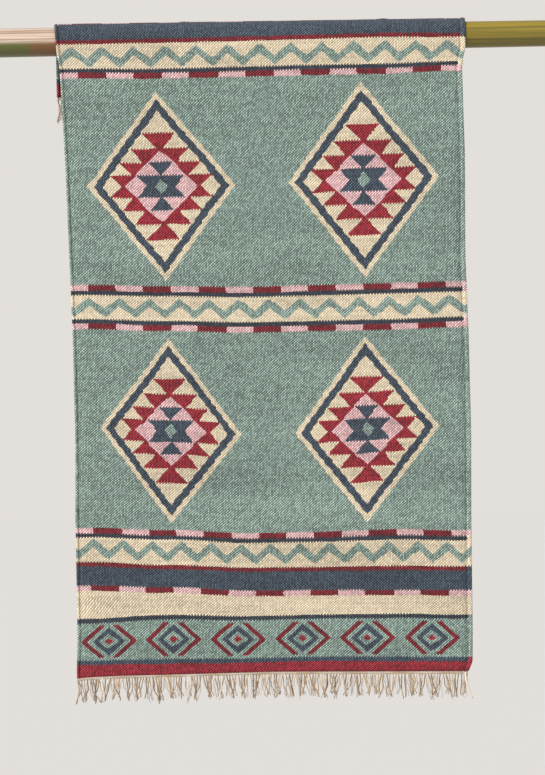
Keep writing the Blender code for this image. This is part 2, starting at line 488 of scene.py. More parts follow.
    def stripes(self, nodes: NodeTree, across: Socket, drawn: Socket, along: Socket) -> Socket:
        """Colours the cross stripes, the dashes in them and the plain right selvage.

        A stripe is found by the distance from the centre line. The dashes are the share of each
        dash pitch that is burgundy, and each row of them starts with a slip of its own. At the
        right selvage the thin lines stop, and the neighbouring yarn goes on.

        Args:
            nodes: the material's nodes.
            across: the bead's place across.
            drawn: the same, shifted by hand.
            along: its place along.

        Returns:
            The ground's colour.
        """
        add = nodes.add
        reach = stripe_start(len(STRIPES))
        level = add("DIVIDE", add("ABSOLUTE", along), reach)
        starts = [stripe_start(place) / reach for place in range(len(STRIPES))]
        wide = [s if s.width > THINNEST_AT_SELVAGE else STRIPES[place + 1] for place, s in enumerate(STRIPES)]
        plain, selvage, in_dashes = (
            with_stops(add("ValToRGB", level), list(zip(starts, row)), "CONSTANT")
            for row in ([s.yarn for s in STRIPES], [Yarn.PINK if s.dashed else s.yarn for s in wide],
                        [float(s.dashed) for s in STRIPES]))
        widest = max(slip for _, slip in self.dash_slips)
        slips = [(place, slip / widest) for place, slip in self.dash_slips]
        upward = add("MULTIPLY_ADD", along, 0.5 / reach, 0.5)
        slip = with_stops(add("ValToRGB", upward), slips, "CONSTANT")
        start = add("SUBTRACT", add("MULTIPLY_ADD", slip, widest, drawn), self.dash_start)
        step = add("FRACT", add("DIVIDE", start, self.dash_pitch))
        pink = add("MULTIPLY", add("GREATER_THAN", step, self.dash_share), in_dashes)
        colour = add("Mix", at={0: pink, 6: plain, 7: Yarn.PINK}, **MIX)
        at_right = add("GREATER_THAN", across, self.selvage_from)
        return add("Mix", at={0: at_right, 6: colour, 7: selvage}, **MIX)

    def zigzag(self, nodes: NodeTree, across: Socket, along: Socket) -> Layers:
        """The teal running-water line along the middle of each of the three cream bands.

        The line's middle is a triangle wave across the rug with blunt corners. Where a point is
        within half a stroke of it, measured along the warp, it is teal. The bands count 1, 0 and
        -1 from the top, and each has a start and a pitch of its own.

        Args:
            nodes: the material's nodes.
            across: the bead's place across.
            along: its place along.

        Returns:
            The line's mask and yarn.
        """
        add = nodes.add
        band = stripe_middle(OUTER_CREAM)
        which = add("ROUND", add("DIVIDE", along, band))
        half_pitch = add("MULTIPLY_ADD", which, self.zigzag_widening / 2, self.zigzag_pitch / 2)
        start = add("MULTIPLY_ADD", add("ABSOLUTE", which), self.zigzag_outer_start, self.zigzag_start)
        start = add("MULTIPLY_ADD", which, self.zigzag_upper_start, start)
        wave = add("PINGPONG", add("SUBTRACT", across, start), half_pitch)
        half = self.zigzag_rise / 2
        blunt = self.zigzag_blunt
        rise = add("MapRange", add("DIVIDE", wave, half_pitch), blunt, 1.0 - blunt, -half, half)
        away = add("ABSOLUTE", add("SUBTRACT", along, add("MULTIPLY_ADD", which, band, rise)))
        return [(add("LESS_THAN", away, self.zigzag_stroke / 2), Yarn.TEAL)]

    def by_quarter(self, nodes: NodeTree, right: Socket, upper: Socket, field: str) -> Socket:
        """One value of the lozenge in this quarter of the rug.

        Args:
            nodes: the material's nodes.
            right: one on the right half, else nought.
            upper: one on the upper half, else nought.
            field: the value's name.

        Returns:
            The value.
        """
        top_left, top_right, low_left, low_right = (getattr(quarter.value, field) for quarter in Quarter)
        top = nodes.add("MULTIPLY_ADD", right, top_right - top_left, top_left)
        low = nodes.add("MULTIPLY_ADD", right, low_right - low_left, low_left)
        return nodes.add("MULTIPLY_ADD", upper, nodes.add("SUBTRACT", top, low), low)

    def counted(self, nodes: NodeTree, share: Socket, edges: Sequence[float]) -> Socket:
        """Counts the steps up to a share of the lozenge, straight between the steps' edges.

        Args:
            nodes: the material's nodes.
            share: how far out from the lozenge's centre, 0 to 1.
            edges: the shares at which the steps begin.

        Returns:
            The count.
        """
        last = len(edges) - 1
        steps = [(edge, place / last) for place, edge in enumerate(edges)]
        return nodes.add("MULTIPLY", with_stops(nodes.add("ValToRGB", share), steps), float(last))

    def lozenges(self, nodes: NodeTree, across: Socket, along: Socket) -> Layers:
        """The four large lozenges with their stepped triangles.

        Each is measured from its own centre in half widths and half heights. The sum of both is
        one on its outline. Inside, rows of triangles stand on a lattice: in row k, at share t
        through the row, burgundy is within about t columns of column 3 - k, navy is within about
        1 + t - k columns of the middle, and what is inside the burgundy is pink.

        Args:
            nodes: the material's nodes.
            across: the bead's place across.
            along: its place along.

        Returns:
            Masks and yarns, the lowest first.
        """
        add = nodes.add
        right, upper = add("GREATER_THAN", across, 0.0), add("GREATER_THAN", along, 0.0)
        here = Lozenge(*(self.by_quarter(nodes, right, upper, field) for field in Lozenge._fields))
        aside = add("SUBTRACT", across, here.across)
        above = add("SUBTRACT", along, here.along)
        leaned = add("SUBTRACT", aside, add("MULTIPLY", above, here.lean))
        risen = add("SUBTRACT", above, add("MULTIPLY", aside, here.rise))
        aside = add("DIVIDE", add("ABSOLUTE", leaned), here.half_width)
        above = add("DIVIDE", add("ABSOLUTE", risen), here.half_height)
        outline = add("ADD", aside, above)
        column = self.counted(nodes, aside, self.column_edges)
        row = self.counted(nodes, above, self.row_edges)
        count, share = add("FLOOR", row), add("FRACT", row)
        inner = add("SUBTRACT", 3.0, count)
        pink = add("LESS_THAN", column, inner)
        width = add("MULTIPLY_ADD", share, self.triangle_spread, self.triangle_tip)
        burgundy = add("LESS_THAN", add("ABSOLUTE", add("SUBTRACT", column, inner)), width)
        navy_reach = add("MULTIPLY_ADD", share, self.navy_spread, self.navy_tip)
        navy = add("LESS_THAN", column, add("MULTIPLY_ADD", count, self.navy_step, navy_reach))
        heart = add("LESS_THAN", add("MULTIPLY_ADD", row, self.heart_slant, column), self.heart_size)
        layers = [(add("LESS_THAN", outline, edge), yarn)
                  for edge, yarn in zip(self.border_edges, (Yarn.CREAM, Yarn.NAVY, Yarn.CREAM))]
        inside = layers[-1][0]
        figures = ((pink, Yarn.PINK), (burgundy, Yarn.BURGUNDY), (navy, Yarn.NAVY), (heart, Yarn.TEAL))
        return layers + [(add("MULTIPLY", mask, inside), yarn) for mask, yarn in figures]

    def eyes(self, nodes: NodeTree, across: Socket, along: Socket) -> Layers:
        """The six eye lozenges in each teal end band.

        An eye is measured from its own centre. Two brackets flank it, up to their half height,
        and stop at the selvages. Its ring and its dot are diamonds, and the dot has the ring's slant.

        Args:
            nodes: the material's nodes.
            across: the bead's place across.
            along: its place along.

        Returns:
            Masks and yarns, the lowest first.
        """
        add = nodes.add
        step = add("FRACT", add("DIVIDE", add("ADD", across, self.eye_shift), self.eye_pitch))
        aside = add("MULTIPLY", add("ABSOLUTE", add("SUBTRACT", step, 0.5)), self.eye_pitch)
        above = add("ABSOLUTE", add("SUBTRACT", add("ABSOLUTE", along), stripe_middle(EYE_BAND)))
        masks = []
        for stroke in (self.bracket, self.ring):
            size = add("MULTIPLY_ADD", above, stroke.slant, aside)
            from_stroke = add("ABSOLUTE", add("SUBTRACT", size, stroke.size))
            masks.append(add("LESS_THAN", from_stroke, stroke.half_width))
        bracket, ring = masks
        dot = add("LESS_THAN", size, self.dot_size)
        low = add("LESS_THAN", above, self.bracket_half_height)
        on_body = add("LESS_THAN", add("ABSOLUTE", across), self.selvage_from)
        bracket = add("MULTIPLY", add("MULTIPLY", bracket, low), on_body)
        return [(bracket, Yarn.MAROON), (ring, Yarn.NAVY), (dot, Yarn.BURGUNDY)]

    def shaded(self, nodes: NodeTree, bead: dict[str, Socket], colour: Socket) -> Socket:
        """Varies the dye: bead by bead, pick by pick and in slow drifts. Paints shade into the pits between
        the beads and light onto their crowns.

        Light that scatters from pale yarn fills its pits, so the painted shade is shallower there. A
        painted sheen of pale grey lies on the crown of each bead, as loose fibres catch plain light.

        Args:
            nodes: the material's nodes.
            bead: the bead under each point.
            colour: the plain dyes.

        Returns:
            The shaded dyes.
        """
        add = nodes.add
        place = add("CombineXYZ", bead["across"], bead["along"])
        single = add("TexWhiteNoise", bead["count"], noise_dimensions="2D")
        picks = add("Mapping", place, at={"Scale": self.streak_rate})
        streak = add("TexNoise", picks, None, 1.0, 2.0, 0.5, noise_dimensions="2D")
        patches = add("Mapping", place, at={"Scale": self.patch_rate, "Location": self.patch_start})
        drift = add("TexNoise", patches, None, 1.0, 3.0, 0.55, noise_dimensions="2D")
        value = add("MULTIPLY_ADD", streak, self.streak_shade, self.base_shade)
        value = add("MULTIPLY_ADD", drift, self.patch_shade, value)
        colour = add("Mix", at={0: 1.0, 6: colour, 7: value}, blend_type="MULTIPLY", **MIX)
        # Painted shade in the pits between beads and painted light on their crowns, each bead duller or
        # brighter at random.
        pits = add("MapRange", bead["height"], *self.pit_span, self.painted_pit_shade, self.painted_crown_light)
        dye = add("MULTIPLY_ADD", single, self.bright_bead - self.dull_bead, self.dull_bead)
        pits = add("MULTIPLY", pits, dye)
        filled = add("MapRange", add("RGBToBW", colour), self.pale_from, self.pale_to, 1.0, self.pale_pits)
        colour = add("Mix", at={0: filled, 6: colour, 7: pits}, blend_type="MULTIPLY", **MIX)
        # Painted sheen: pale grey mixed onto each bead's crown.
        painted_sheen_share = add("MULTIPLY", bead["height"], self.painted_sheen)
        return add("Mix", at={0: painted_sheen_share, 6: colour, 7: self.painted_sheen_colour}, **MIX)

    def selvages(self, nodes: NodeTree, colour: Socket) -> Socket:
        """Paints light onto the cord of warps at each selvage and paints shade into the groove inside it.

        A ramp over the distance from the edge gives each side's painted light and shade. On a cord the
        weft turns back in slanted stitches: a cosine of the place along plus the place across, painted
        lighter and darker in turn.

        Args:
            nodes: the material's nodes.
            colour: the shaded dyes.

        Returns:
            The same, with both selvages.
        """
        add = nodes.add
        place = add("UVMap", uv_map=FLAT)
        across, along = (add("SeparateXYZ", place, out=axis) for axis in "XY")
        inset = add("SUBTRACT", self.half_width, add("ABSOLUTE", across))
        inset = add("DIVIDE", inset, self.selvage_reach)
        # Painted light on each cord and painted shade in each groove, by the distance from the edge.
        left, right = (with_stops(add("ValToRGB", inset), tones)
                       for tones in (self.left_light_and_shade, self.right_light_and_shade))
        tone = add("Mix", at={0: add("GREATER_THAN", across, 0.0), 6: left, 7: right}, **MIX)
        # The slanted stitches' painted light and shade, on the cords only.
        turns = add("DIVIDE", add("ABSOLUTE", across), self.stitch_slant)
        turns = add("MULTIPLY_ADD", along, 1 / self.stitch_pitch, turns)
        stitch = add("COSINE", add("MULTIPLY", turns, math.tau))
        on_cord = add("MapRange", inset, *self.cord_edge, 0.0, self.painted_stitch_depth)
        gain = add("MULTIPLY_ADD", add("MULTIPLY", stitch, on_cord), self.painted_light_gain, self.painted_light_gain)
        value = add("MULTIPLY", tone, gain)
        return add("Mix", at={0: 1.0, 6: colour, 7: value}, blend_type="MULTIPLY", **MIX)

    def shader(self, nodes: NodeTree) -> Socket:
        """Draws the pattern bead by bead, and gives it the dye's shades and the weave's relief.

        Args:
            nodes: the material's nodes.

        Returns:
            The surface.
        """
        add = nodes.add
        bead = self.bead(nodes)
        across, along = bead["across"], bead["along"]
        drawn_across, drawn_along = self.by_hand(nodes, bead)
        colour = self.stripes(nodes, across, drawn_across, along)
        motifs = [self.zigzag(nodes, drawn_across, along), self.lozenges(nodes, drawn_across, drawn_along),
                  self.eyes(nodes, across, along)]
        for mask, yarn in sum(motifs, []):
            colour = add("Mix", at={0: mask, 6: colour, 7: yarn}, **MIX)
        colour = self.selvages(nodes, self.shaded(nodes, bead, colour))
        place = add("UVMap", uv_map=FLAT)
        fibre = add("TexNoise", place, None, self.fibre_rate, 2.0, 0.6, noise_dimensions="2D")
        height = add("MULTIPLY_ADD", fibre, self.fibre_relief / self.bead_relief, bead["height"])
        return add("BsdfPrincipled", at={
            "Base Color": colour, "Roughness": self.roughness, "Sheen Weight": self.sheen,
            "Sheen Roughness": self.sheen_spread, "Specular IOR Level": self.specular,
            "Normal": add("Bump", self.relief_strength, self.bead_relief, at={"Height": height})})


class OutlineRow(NamedTuple):
    """Where the two selvages of the front panel are at one drop."""

    drop: float
    left: float
    right: float


class Fold(NamedTuple):
    """A soft swell of the front panel. A negative rise is a trough."""

    x: float
    drop: float
    half_width: float
    half_drop: float
    rise: float


class Wander(NamedTuple):
    """How far the picks at one drop have slipped down, in millimetres at six places across the rug."""

    drop: float
    slips: tuple[float, ...]


@dataclass(frozen=True)
class Bamboo(Finish):
    """Bamboo skin, dried and worn.

    It keeps its waxy gloss. The colour runs in long streaks from olive to straw yellow, and painted
    shade darkens it below. Towards the left end the top is faded pale with a painted highlight, and
    the underside is brown and green.
    A dark scar rings each node, and the sawn ends show the pale pith. Spans run along X.
    """

    name: str = "bamboo skin, dried and worn"
    dark: str = "5e5518"
    olive: str = "7d7124"
    yellow: str = "978324"
    brown: str = "835a30"
    green: str = "676b2e"
    tan: str = "a58c76"
    # The left end's faded top, paler still for a painted highlight.
    faded_and_highlit: str = "dccabc"
    scar: str = "5a4626"
    pith: str = "d8c49a"
    roughness: float = 0.34
    # Painted shade: the factor on the culm's underside.
    painted_shade_below: float = 0.60
    radius: float = 20.0 * MM
    node_pitch: float = 0.300
    first_node: float = -0.417
    streak_width: float = 3.2 * MM
    streak_length: float = 400.0 * MM
    sawn_from: float = 0.4778
    green_span: tuple[float, float] = (-0.335, -0.36)
    # Where the left end begins along X, and how the painted highlight on its top fades in and wavers.
    left_end_span: tuple[float, float] = (-0.10, -0.30)
    highlit_top_fade: float = 7.0 * MM
    highlit_top_waver: float = 8.0 * MM
    lit_from: float = 0.4
    scar_reach: float = 25.0 * MM
    speck_rate: float = 900.0
    speck_relief: float = 0.10
    streak_gloss: float = 0.20
    wax: float = 0.08
    wax_roughness: float = 0.25
    relief: float = 0.3 * MM
    relief_strength: float = 0.20

    def shader(self, nodes: NodeTree) -> Socket:
        """Colours the skin along the culm.

        The streaks are noise on Object coordinates, stretched along the culm. The distance to
        the nearest node is a triangle wave along it.

        Args:
            nodes: the material's nodes.

        Returns:
            The surface.
        """
        add = nodes.add
        place = add("TexCoord", out="Object")
        x, z = (add("SeparateXYZ", place, out=axis) for axis in "XZ")
        stretch = (1 / self.streak_length, 1 / self.streak_width, 1 / self.streak_width)
        streak = add("TexNoise", add("Mapping", place, at={"Scale": stretch}), None, 1.0, 4.0, 0.6)
        skin = with_stops(add("ValToRGB", streak), [
            (0.34, self.dark), (0.48, self.olive), (0.60, self.yellow), (0.72, self.olive)])
        pale = with_stops(add("ValToRGB", streak), [
            (0.40, self.tan), (0.52, self.faded_and_highlit), (0.66, self.tan)])
        # At the left end the top is faded pale with a painted highlight, over a brown and green underside.
        height = add("MULTIPLY_ADD", streak, self.highlit_top_waver, z)
        to_green, top, to_left = (
            add("MapRange", value, *span, 0.0, 1.0, interpolation_type="SMOOTHSTEP")
            for value, span in ((x, self.green_span), (height, (0.0, self.highlit_top_fade)), (x, self.left_end_span)))
        under = add("Mix", at={0: to_green, 6: self.brown, 7: self.green}, **MIX)
        worn = add("Mix", at={0: top, 6: under, 7: pale}, **MIX)
        colour = add("Mix", at={0: to_left, 6: skin, 7: worn}, **MIX)
        # Painted shade: darker below, from a little above the axis down to the underside.
        level = add("MapRange", z, -self.radius, self.lit_from * self.radius, self.painted_shade_below, 1.0)
        colour = add("Mix", at={0: 1.0, 6: colour, 7: level}, blend_type="MULTIPLY", **MIX)
        from_node = add("PINGPONG", add("SUBTRACT", x, self.first_node), self.node_pitch / 2)
        near = add("DIVIDE", from_node, self.scar_reach)
        ring = with_stops(add("ValToRGB", near), [(0.0, 0.9), (0.06, 0.8), (0.12, 0.15), (0.40, 0.0)])
        sawn = add("GREATER_THAN", add("ABSOLUTE", x), self.sawn_from)
        for mask, shade in ((ring, self.scar), (sawn, self.pith)):
            colour = add("Mix", at={0: mask, 6: colour, 7: shade}, **MIX)
        speck = add("TexNoise", place, None, self.speck_rate, 2.0, 0.5)
        relief = add("MULTIPLY_ADD", speck, self.speck_relief, streak)
        rough = add("MULTIPLY_ADD", streak, self.streak_gloss, self.roughness - self.streak_gloss / 2)
        return add("BsdfPrincipled", at={
            "Base Color": colour, "Roughness": rough, "Coat Weight": self.wax,
            "Coat Roughness": self.wax_roughness,
            "Normal": add("Bump", self.relief_strength, self.relief, at={"Height": relief})})


@dataclass(frozen=True)
class WarpYarn(Finish):
    """Undyed wool and cotton warp, spun and plied.

    It is matt, with painted shade in the grooves of the twist that cross each strand, and each
    strand has its own tone from straw to nearly white.
    """

    name: str = "warp yarn, undyed and plied"
    shade: str = "8c6c4e"
    straw: str = "cdb595"
    white: str = "f2ebe0"
    plies: float = 2.0
    ply_gap: float = 1.7 * MM
    painted_groove_shade: float = 0.75
    relief: float = 0.25 * MM
    relief_strength: float = 0.8
    roughness: float = 0.9
    sheen: float = 0.2
    specular: float = 0.2

    def shader(self, nodes: NodeTree) -> Socket:
        """Paints shade into the grooves between the plies of a strand.

        The UV map gives the turn round a strand and the length along it. Their sum, in plies, is
        the phase of the twist. The attribute "tone" is the strand's own shade.

        Args:
            nodes: the material's nodes.

        Returns:
            The surface.
        """
        add = nodes.add
        turn, length = (add("SeparateXYZ", add("UVMap", uv_map=FLAT), out=axis) for axis in "XY")
        phase = add("MULTIPLY_ADD", length, 1 / self.ply_gap, add("MULTIPLY", turn, self.plies))
        ply = add("MULTIPLY_ADD", add("COSINE", add("MULTIPLY", phase, math.tau)), 0.5, 0.5)
        tone = add("Attribute", attribute_name="tone", out="Fac")
        colour = with_stops(add("ValToRGB", tone), [(0.0, self.shade), (0.55, self.straw), (1.0, self.white)])
        # Painted shade in the grooves between the plies.
        value = add("MULTIPLY_ADD", ply, 1.0 - self.painted_groove_shade, self.painted_groove_shade)
        return add("BsdfPrincipled", at={
            "Base Color": add("Mix", at={0: 1.0, 6: colour, 7: value}, blend_type="MULTIPLY", **MIX),
            "Roughness": self.roughness, "Sheen Weight": self.sheen, "Specular IOR Level": self.specular,
            "Normal": add("Bump", self.relief_strength, self.relief, at={"Height": ply})})


@dataclass(frozen=True)
class Pole:
    """The bamboo culm that the rug hangs over."""

    length: float = 0.960
    mid_radius: float = 0.0208
    taper: float = -0.0027
    nodes: tuple[float, ...] = (-0.417, -0.117, 0.183)
    node_rise: float = 0.0011
    node_reach: float = 0.012
    end_bevel: float = 0.0012
    scar_depth: float = 0.0005
    scar_reach: float = 0.0018
    # The ends, from the pith's centre outwards: the share of the radius, and how deep it is sunk.
    pith: tuple[tuple[float, float], ...] = (
        (0.001, 0.0022), (0.30, 0.0022), (0.58, 0.0020), (0.64, 0.0004), (0.70, 0.0), (0.86, 0.0))
    rows: int = 420
    rows_at_node: int = 57
    rows_span: float = 0.014
    rows_at_bevel: int = 6
    sides: int = 96
    finish: Bamboo = Bamboo()

    def radius(self, x: Array) -> Array:
        """The culm's radius: an even taper, and a cosine hump at each node.

        Args:
            x: places along the pole.

        Returns:
            The radius at each.
        """
        total = self.mid_radius + self.taper * x
        for node in self.nodes:
            away = np.clip(np.abs(x - node) / self.node_reach, 0.0, 1.0)
            total = total + self.node_rise * (0.5 + 0.5 * np.cos(math.pi * away))
        return total

    def surface(self) -> tuple[Array, Array]:
        """The culm as a turned profile.

        At each X the radius is the plain one, less a narrow bell-shaped scar beside each node,
        and less a quarter circle over the bevel at the two sawn ends. Each end closes in a flat
        ring round a shallow hollow in the pith.

        Returns:
            Points and quads.
        """
        half = self.length / 2
        even = np.linspace(-half, half, self.rows)
        span = np.linspace(-self.rows_span, self.rows_span, self.rows_at_node)
        near_nodes = [node + span for node in self.nodes]
        bevels = half - self.end_bevel * np.linspace(0.0, 1.0, self.rows_at_bevel)
        places = np.unique(np.concatenate([even, *near_nodes, bevels, -bevels]))
        radius = self.radius(places)
        for node in self.nodes:
            beside = (places - node - self.scar_reach) / self.scar_reach
            radius = radius - self.scar_depth * np.exp(-beside ** 2)
        inset = np.clip(half - np.abs(places), 0.0, self.end_bevel)
        radius = radius - self.end_bevel + np.sqrt(self.end_bevel**2 - (self.end_bevel - inset) ** 2)
        shares, sunk = np.array(self.pith).T
        places = np.concatenate([-half + sunk, places, half - sunk[::-1]])
        radius = np.concatenate([shares * radius[0], radius, shares[::-1] * radius[-1]])
        angle = math.tau * np.arange(self.sides) / self.sides
        x = np.repeat(places[:, None], self.sides, 1)
        points = np.stack([x, radius[:, None] * np.cos(angle), radius[:, None] * np.sin(angle)], -1)
        return points.reshape(-1, 3), ring_faces(len(places), self.sides)

    def build(self) -> bpy.types.Object:
        """Makes the culm, closed at both pith centres, and dresses it.

        Returns:
            The culm's object.
        """
        points, faces = self.surface()
        first_disc = np.arange(self.sides)[::-1]
        last_disc = np.arange(len(points) - self.sides, len(points))
        culm = mesh_object("bamboo_culm", points, [*faces.tolist(), first_disc.tolist(), last_disc.tolist()])
        dress(culm, self.finish)
        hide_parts("bamboo_pole")
        return culm


class Selvage(NamedTuple):
    """The cord of warps along one edge, and the middle of the groove inside it."""

    cord_middle: float
    cord_reach: float
    groove_middle: float


@dataclass(frozen=True)
class Drape:
    """The form in which the rug hangs: the solid's, with its last few millimetres worked out."""

    pole: Pole
    width: float = 0.600
    thickness: float = 0.003
    clearance: float = 0.0003
    arc_steps_in_solid: int = 12
    centre_drop: float = 0.40375
    back_drop: float = 0.083
    back_edges: tuple[float, float] = (-0.3095, 0.300)
    crest_edges: tuple[float, float] = (-0.311, 0.306)
    crest_swell: float = 0.0020
    hem_places: tuple[float, ...] = (0.0, 0.03, 0.10, 0.50, 1.0)
    hem_drops: tuple[float, ...] = (0.9560, 0.9545, 0.9530, 0.9508, 0.9550)
    selvage_roll: float = 0.0035
    selvage_width: float = 0.020
    roll_start: float = 0.030
    roll_full: float = 0.140
    cord_swell: float = 0.0012
    groove_depth: float = 0.0010
    groove_reach: float = 0.0012
    left_selvage: Selvage = Selvage(0.0020, 0.0018, 0.0050)
    right_selvage: Selvage = Selvage(0.0038, 0.0032, 0.0084)
    edge_round: float = 0.0020
    # Columns beside a selvage, in millimetres from the edge. The others are even.
    edge_columns: tuple[float, ...] = (
        0.0, 0.12, 0.4, 0.8, 1.3, 1.9, 2.6, 3.4, 4.2, 5.0, 5.8, 6.7, 7.6, 8.4, 9.2, 10.6)
    columns: int = 170
    front_rows: int = 252
    arc_rows: int = 22
    back_rows: int = 20

    outline: tuple[OutlineRow, ...] = (
        OutlineRow(0.000, -0.309, 0.306),
        OutlineRow(0.018, -0.308, 0.306),
        OutlineRow(0.034, -0.305, 0.302),
        OutlineRow(0.050, -0.3035, 0.300),
        OutlineRow(0.180, -0.298, 0.302),
        OutlineRow(0.330, -0.294, 0.300),
        OutlineRow(0.460, -0.291, 0.303),
        OutlineRow(0.600, -0.290, 0.304),
        OutlineRow(0.720, -0.292, 0.302),
        OutlineRow(0.900, -0.292, 0.301),
        OutlineRow(0.941, -0.294, 0.300),
        OutlineRow(0.957, -0.294, 0.293),
    )
    folds: tuple[Fold, ...] = (
        Fold(-0.02, 0.290, 0.34, 0.060, -0.0030),
        Fold(0.05, 0.670, 0.30, 0.055, -0.0040),
        Fold(-0.19, 0.500, 0.10, 0.210, 0.0045),
        Fold(0.17, 0.820, 0.10, 0.230, 0.0060),
        Fold(-0.09, 0.900, 0.09, 0.160, 0.0050),
        Fold(0.28, 0.955, 0.05, 0.045, 0.0070),
    )
    wander_places: tuple[float, ...] = (0.03, 0.23, 0.45, 0.62, 0.80, 0.97)
    wanders: tuple[Wander, ...] = (
        Wander(-0.120, (6.0, 2.7, 2.1, 1.0, 0.0, 1.7)),
        Wander(0.005, (2.8, 2.7, 2.1, 1.0, 0.0, 1.7)),
        Wander(0.049, (2.3, 4.8, 4.2, 3.3, 3.5, 0.7)),
        Wander(0.376, (-3.4, 0.7, 4.2, 3.2, 2.1, 1.2)),
        Wander(0.430, (-6.3, -1.0, 3.4, 3.0, 2.8, 0.6)),
        Wander(0.742, (-8.9, -3.5, 3.9, 3.5, 1.5, 4.8)),
        Wander(0.797, (-8.9, -2.2, 4.0, 4.7, 4.9, 7.2)),
        Wander(0.827, (-10.4, -5.5, 2.6, 3.3, 5.1, 7.4)),
        Wander(0.869, (2.1, -2.2, 1.5, 0.8, 1.3, 4.7)),
        Wander(0.934, (-0.1, -0.3, 0.6, 0.1, 2.2, 4.3)),
    )
    stretch_from: float = 0.03225
    stretch_to: float = 0.34875
    stretch_gain: float = 0.0150

    def selvages(self, drop: Array) -> tuple[Array, Array]:
        """Left and right selvage of the front panel, straight between the outline's rows.

        Args:
            drop: drops below the pole's axis.

        Returns:
            X of the left one and of the right one.
        """
        drops = [row.drop for row in self.outline]
        left = np.interp(drop, drops, [row.left for row in self.outline])
        right = np.interp(drop, drops, [row.right for row in self.outline])
        return left, right

    def cloth_radius(self, x: Array) -> Array:
        """Radius of the cloth's middle round the pole: the culm's, plus the seat that the solid has."""
        half_turn = math.pi / self.arc_steps_in_solid / 2
        return (self.pole.radius(x) + self.clearance) / math.cos(half_turn) + self.thickness / 2

    def fold_rise(self, x: Array, drop: Array) -> Array:
        """How far the front panel swells forward: a sum of bell-shaped swells.

        Args:
            x: places along X.
            drop: drops below the pole's axis.

        Returns:
            The rise at each point.
        """
        total = np.zeros(np.broadcast(x, drop).shape)
        for fold in self.folds:
            across = ((x - fold.x) / fold.half_width) ** 2
            down = ((drop - fold.drop) / fold.half_drop) ** 2
            total = total + fold.rise * np.exp(-across - down)
        return total

    def column_shares(self) -> Array:
        """Places across the rug, 0 to 1: even in the middle, closer and closer at the selvages.

        Returns:
            One share for each column.
        """
        near = np.array(self.edge_columns) * MM / self.width
        even = np.linspace(near[-1], 1 - near[-1], self.columns - 2 * len(near) + 2)
        return np.concatenate([near, even[1:-1], 1 - near[::-1]])

    def middle(self) -> tuple[Array, Array]:
        """The cloth's middle surface, as rows from the front hem over the pole to the back hem.

        On the front panel a point hangs at its drop, forward by the cloth's radius and the folds,
        and back by the roll of the selvage. Over the pole it goes half a turn round the culm.
        Behind, it hangs straight.

        Returns:
            Points as rows by columns by 3, and the drop along the cloth, which is negative past
            the front tangent.
        """
        shares = self.column_shares()[None, :]
        hem = np.interp(shares, self.hem_places, self.hem_drops)
        drop = np.linspace(1.0, 0.0, self.front_rows)[:, None] * hem
        left, right = self.selvages(drop)
        x = left + (right - left) * shares
        fade = smooth_step(drop / self.roll_full)
        to_edge = np.minimum(shares, 1.0 - shares) * (right - left)
        free = smooth_step((drop - self.roll_start) / (self.roll_full - self.roll_start))
        roll = self.selvage_roll * (1.0 - smooth_step(to_edge / self.selvage_width)) * free
        y = -self.cloth_radius(x) - fade * self.fold_rise(x, drop) + roll
        front = np.stack([x, y, -drop], -1)

        turn = np.linspace(0.0, math.pi, self.arc_rows + 2)[1:-1, None]
        rise = np.sin(turn)
        behind = turn > math.pi / 2
        foot_left = np.where(behind, self.back_edges[0], self.outline[0].left)
        foot_right = np.where(behind, self.back_edges[1], self.outline[0].right)
        left = foot_left + (self.crest_edges[0] - foot_left) * rise
        right = foot_right + (self.crest_edges[1] - foot_right) * rise
        x = left + (right - left) * shares
        radius = self.cloth_radius(x)
        over = np.stack([x, -radius * np.cos(turn), radius * rise], -1)

        fall = np.linspace(0.0, self.back_drop, self.back_rows)[:, None]
        x = self.back_edges[0] + (self.back_edges[1] - self.back_edges[0]) * shares + 0 * fall
        back = np.stack([x, self.cloth_radius(x), -fall + 0 * x], -1)
        plain_radius = self.pole.mid_radius + self.thickness
        along = [drop, -plain_radius * turn + 0 * x[:1], -plain_radius * math.pi - fall + 0 * x]
        return np.concatenate([front, over, back]), np.concatenate(along)

    def wander(self, shares: Array, drop: Array) -> Array:
        """How far the picks have slipped down here.

        The six columns are read at this drop, straight between the rows, and blended across the
        rug with level ends from each column's place to the next.

        Args:
            shares: places across the rug, 0 to 1.
            drop: drops along the cloth.

        Returns:
            The slip at each point.
        """
        drops = [row.drop for row in self.wanders]
        columns = [np.interp(drop, drops, slips) * MM for slips in zip(*(row.slips for row in self.wanders))]
        places = self.wander_places
        total = columns[0]
        for before, after, low, high in zip(columns, columns[1:], places, places[1:]):
            total = total + (after - before) * smooth_step((shares - low) / (high - low))
        return total

    def pattern_along(self, shares: Array, drop: Array) -> Array:
        """Where each point lies on the flat pattern, measured from the centre line.

        The upper field was woven longer than the lower one, so there the pattern is stretched.

        Args:
            shares: places across the rug, 0 to 1.
            drop: drops along the cloth.

        Returns:
            The place along at each point.
        """
        along = self.centre_drop - drop + self.wander(shares, drop)
        field = np.clip((along - self.stretch_from) / (self.stretch_to - self.stretch_from), 0.0, 1.0)
        return along - self.stretch_gain * field

    def half_thickness(self) -> Array:
        """Half the cloth's thickness.

        It swells over the selvage's cord of warps, dips in the groove inside it, and is rounded
        off to nothing at the edge.

        Returns:
            One value for each column.
        """
        from_left = self.column_shares() * self.width
        from_right = self.width - from_left
        half = np.full_like(from_left, self.thickness / 2)
        for to_edge, selvage in ((from_left, self.left_selvage), (from_right, self.right_selvage)):
            half += self.cord_swell * np.exp(-((to_edge - selvage.cord_middle) / selvage.cord_reach) ** 2)
            half -= self.groove_depth * np.exp(-((to_edge - selvage.groove_middle) / self.groove_reach) ** 2)
        near = 1.0 - np.clip(np.minimum(from_left, from_right) / self.edge_round, 0.0, 1.0)
        return half * np.sqrt(1.0 - near ** 2)


